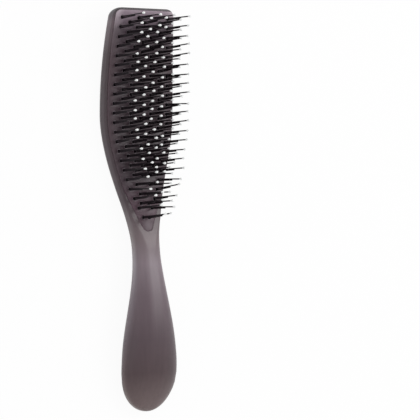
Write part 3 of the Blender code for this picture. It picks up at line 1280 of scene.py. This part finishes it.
    def build(self, nylon: Material, resin: Material, tufts: list[Tuft]) -> None:
        """Build the strands and ball tips of every column and dress them.

        Args:
            nylon: Material of the strands.
            resin: Material of the ball tips.
            tufts: Every tuft of the brush.
        """
        strands = {kind: self.strand_template(kind, nylon) for kind in StrandKind}
        ball = self.ball_template(resin)
        dice = random.Random(self.seed)
        for column in self.columns:
            planted, balls = [], []
            for tuft in (tuft for tuft in tufts if tuft.column == column):
                lean_x, lean_y = dice.gauss(0, self.lean), dice.gauss(0, self.lean)
                bow_x, bow_y = dice.gauss(0, self.bow), dice.gauss(0, self.bow)
                for kind in StrandKind:
                    is_long = kind is StrandKind.LONG
                    end_side = 1 if is_long else -1
                    foot = self.lines.to_frame(tuft.across - end_side * self.stagger / 2,
                                               tuft.along + end_side * self.spacing / 2, tuft.height)
                    huddle = 0.0 if is_long else self.huddle
                    sway = (lean_x, lean_y + huddle, bow_x, bow_y)
                    planted.append(self.plant(strands[kind], foot, sway))
                    if is_long:
                        balls.append(self.plant(ball, foot, sway))
            row = join_pieces(f"strands_{column + 1}", planted)
            dress(row, "black_nylon", f"bristle_row_{column + 1}")
            dress(join_pieces(f"ball_tips_{column + 1}", balls), "ball_tip_resin")
        for template in (*strands.values(), ball):
            bpy.data.objects.remove(template)


# The studio


@dataclass(frozen=True)
class SoftBox:
    """A soft lamp of the studio."""

    name: str
    place: Point
    width: float
    length: float
    power: float

    def build(self) -> None:
        """Build the lamp, turned to the brush."""
        light = bpy.data.lights.new(self.name, "AREA")
        light.shape = "RECTANGLE"
        light.size, light.size_y = self.width, self.length
        light.energy = self.power
        lamp = bpy.data.objects.new(self.name, light)
        lamp.location = self.place
        lamp.rotation_euler = (-Vector(self.place)).to_track_quat("-Z", "Y").to_euler()
        bpy.context.collection.objects.link(lamp)


@dataclass
class Studio:
    """Camera, paper, world and lamps.

    The camera looks down at the brush from its distance, turned by yaw round the brush's length, by pitch and
    by roll, and moved right and up in its own picture.
    """

    yaw: float = math.radians(-39.07)
    pitch: float = math.radians(-1.92)
    roll: float = math.radians(-1.94)
    shift_right: float = 43.22 * MM
    shift_up: float = 0.36 * MM
    distance: float = 1.7
    lens: float = 253.9
    sensor_width: float = 36.0
    paper_size: float = 4.0
    paper_drop: float = 0.1 * MM
    world_strength: float = 0.75
    lamps: tuple[SoftBox, ...] = (
        SoftBox("key_softbox", place=(0.9, 0.42, 0.95), width=0.5, length=0.85, power=6.0),
        SoftBox("left_fill", place=(-1.15, 0.1, 0.65), width=1.2, length=1.2, power=1.5),
    )

    def camera(self) -> None:
        """Build the camera at the photograph's viewing angle."""
        back = Vector((math.sin(self.yaw) * math.cos(self.pitch), math.sin(self.pitch),
                       math.cos(self.yaw) * math.cos(self.pitch)))
        level_right = Vector((0.0, 1.0, 0.0)).cross(back).normalized()
        level_up = back.cross(level_right)
        right = level_right * math.cos(self.roll) + level_up * math.sin(self.roll)
        up = level_up * math.cos(self.roll) - level_right * math.sin(self.roll)
        data = bpy.data.cameras.new("photo_camera")
        data.lens, data.sensor_width = self.lens, self.sensor_width
        camera = bpy.data.objects.new("photo_camera", data)
        turn = Matrix((right, up, back)).transposed()
        place = right * self.shift_right + up * self.shift_up + back * self.distance
        camera.matrix_world = Matrix.Translation(place) @ turn.to_4x4()
        bpy.context.collection.objects.link(camera)
        bpy.context.scene.camera = camera

    def paper(self) -> None:
        """Lay the background paper flat under the brush."""
        select_only()
        bpy.ops.mesh.primitive_plane_add(size=self.paper_size, location=(0.0, 0.0, -self.paper_drop))
        paper = bpy.context.object
        bpy.ops.object.transform_apply(location=True)
        paper.name = paper.data.name = "background_paper"
        paper.data.materials.append(StudioPaper().build())

    def world(self) -> None:
        """Build the world: even light, and white wherever the camera or a reflection meets it."""
        world = bpy.data.worlds.new("studio_white")
        world.use_nodes = True
        tree = world.node_tree
        tree.nodes.clear()
        strength = map_range(tree, seen_directly(tree), target=(self.world_strength, 1.0))
        background = add_node(tree, "ShaderNodeBackground", {
            "Color": linear_colour(WHITE), "Strength": strength})
        add_node(tree, "ShaderNodeOutputWorld", {"Surface": background.outputs["Background"]})
        bpy.context.scene.world = world

    def build(self) -> None:
        """Build the whole studio."""
        self.camera()
        self.paper()
        self.world()
        for lamp in self.lamps:
            lamp.build()
        bpy.context.scene.view_settings.view_transform = "Standard"


def main() -> None:
    """Dress the brush piece by piece."""
    logging.basicConfig(level=logging.INFO, format="%(name)s: %(message)s")
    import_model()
    Studio().build()
    lines = BrushLines()
    plate = BristlePlate(lines)
    bristles = BristleField(lines, plate)
    tufts = bristles.tufts()
    LOG.info("%d tufts", len(tufts))
    # The handle's tones carry painted light along the brush, and its sides a painted reflection.
    handle_plastic = SmokyPlastic("smoky_styrene_handle", HANDLE_TONES, lines.length).build()
    # The plate gets painted shade in its middle among the bristles, and a milder painted reflection on its
    # sides.
    plate_plastic = SmokyPlastic("smoky_styrene_plate", PLATE_TONES, lines.length, roughness=(0.31, 0.41),
                                 painted_bristle_shade=(0.6, 0.54, 0.59), painted_side_lift=(1.2, 1.2, 1.2)).build()
    # The socket mouths are painted lighter than the plate, a painted highlight.
    socket_highlight_plastic = SmokyPlastic("smoky_styrene_socket_mouth_painted_highlight", SOCKET_HIGHLIGHT_TONES, lines.length,
                                  roughness=(0.25, 0.35)).build()
    Handle(lines).build(handle_plastic, plate)
    plate.build(plate_plastic, socket_highlight_plastic, tufts)
    bristles.build(Nylon().build(), DippedResin().build(), tufts)


if __name__ == "__main__":
    main()
